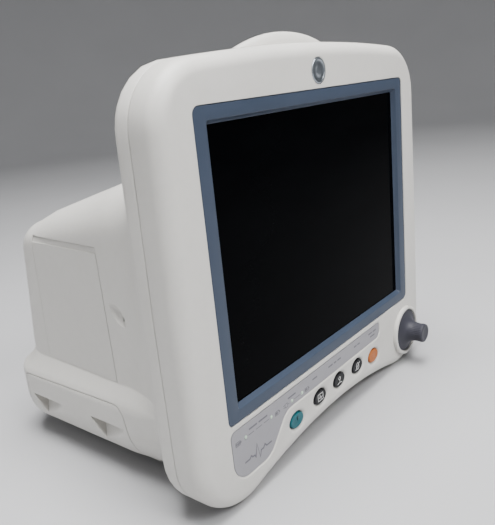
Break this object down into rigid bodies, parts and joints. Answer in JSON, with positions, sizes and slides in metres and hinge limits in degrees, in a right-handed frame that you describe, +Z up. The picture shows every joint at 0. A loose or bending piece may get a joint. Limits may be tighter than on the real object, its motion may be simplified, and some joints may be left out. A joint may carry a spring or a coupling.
{
  "type": "patient monitor",
  "caption": "Portable bedside patient monitor: rounded display head with keys and a control knob, flared neck, sloping rear box, carry handle, battery flap, side and rear connectors.",
  "frame": {"origin": "middle of the overall box in plan, at table level under the feet", "axes": "+X to the right seen from the front, +Y towards the rear (the display faces -Y), +Z up"},
  "size_m": [0.292, 0.244, 0.275],
  "materials": {
    "housing": "fine-textured off-white moulded plastic",
    "trim": "satin blue-grey",
    "glass": "dark glossy display window",
    "label": null,
    "badge": "blank silver disc",
    "key_teal": "satin",
    "key_black": "satin",
    "key_orange": "satin",
    "lens": "milky lamp lens",
    "knob": "satin dark grey",
    "steel": "plain",
    "module": "plain",
    "board": "circuit board green",
    "dark": "matt black",
    "rubber": "matt",
    "battery": "satin dark grey",
    "brass": "plain",
    "green": "satin",
    "blue": "satin",
    "brown": "satin",
    "red": "satin",
    "panel": "satin mid grey"
  },
  "bodies": {
    "case": {"front_housing": "housing", "rear_housing": "housing", "carry_handle": "housing", "display_trim": "trim", "display_window": "glass", "display_panel": "dark", "display_bracket": "steel", "backlight_inverter": "board", "keypad_board": "board", "charge_lamp_left": "lens", "charge_lamp_right": "lens", "mains_lamp": "lens", "battery_lamp": "lens", "label_panel": "label", "badge": "badge", "knob_ring": "housing", "encoder_body": "steel", "side_cover": "housing", "battery_door_pin": "steel", "battery_pack_1": "battery", "battery_pack_2": "battery", "battery_tray": "dark", "battery_contacts": "dark", "connector_panel": "panel", "ecg_connector": "green", "oxygen_sensor_connector": "blue", "temperature_connector": "brown", "pressure_connector_upper": "red", "pressure_connector_lower": "red", "cuff_hose_fitting": "steel", "power_inlet": "dark", "network_port": "steel", "serial_port": "steel", "sync_port": "dark", "equipotential_post": "brass", "rear_panel": "panel", "chassis_frame": "steel", "main_board": "board", "power_supply": "board", "cuff_pump": "module", "valve_manifold": "dark", "acquisition_module": "module", "speaker": "dark", "head_screw_1": "steel", "head_screw_2": "steel", "case_screw_1": "steel", "case_screw_2": "steel", "foot_1": "rubber", "foot_2": "rubber", "foot_3": "rubber", "foot_4": "rubber"},
    "power_button": {"power_key": "key_teal"},
    "graph_button": {"graph_key": "key_black"},
    "cuff_button": {"cuff_key": "key_black"},
    "zero_button": {"zero_key": "key_black"},
    "silence_button": {"silence_key": "key_orange"},
    "knob_turner": {"encoder_rotor": "brass"},
    "knob": {"trim_knob": "knob", "encoder_shaft": "steel"},
    "battery_flap": {"battery_door": "housing"}
  },
  "joints": [
    {"name": "power_press", "type": "slide", "parent": "case", "child": "power_button", "axis": [0, 1, 0], "range_m": [0, 0.001], "stiffness_N_per_m": 400},
    {"name": "graph_press", "type": "slide", "parent": "case", "child": "graph_button", "axis": [0, 1, 0], "range_m": [0, 0.001], "stiffness_N_per_m": 400},
    {"name": "cuff_press", "type": "slide", "parent": "case", "child": "cuff_button", "axis": [0, 1, 0], "range_m": [0, 0.001], "stiffness_N_per_m": 400},
    {"name": "zero_press", "type": "slide", "parent": "case", "child": "zero_button", "axis": [0, 1, 0], "range_m": [0, 0.001], "stiffness_N_per_m": 400},
    {"name": "silence_press", "type": "slide", "parent": "case", "child": "silence_button", "axis": [0, 1, 0], "range_m": [0, 0.001], "stiffness_N_per_m": 400},
    {"name": "knob_turn", "type": "hinge", "parent": "case", "child": "knob_turner", "pos_m": [0.113, -0.113, 0.029], "axis": [0, 1, 0], "continuous": true},
    {"name": "knob_press", "type": "slide", "parent": "knob_turner", "child": "knob", "axis": [0, 1, 0], "range_m": [0, 0.0008], "stiffness_N_per_m": 900},
    {"name": "battery_flap_hinge", "type": "hinge", "parent": "case", "child": "battery_flap", "pos_m": [-0.111, 0.03, 0.0089], "axis": [0, -1, 0], "range_deg": [0, 58]}
  ]
}
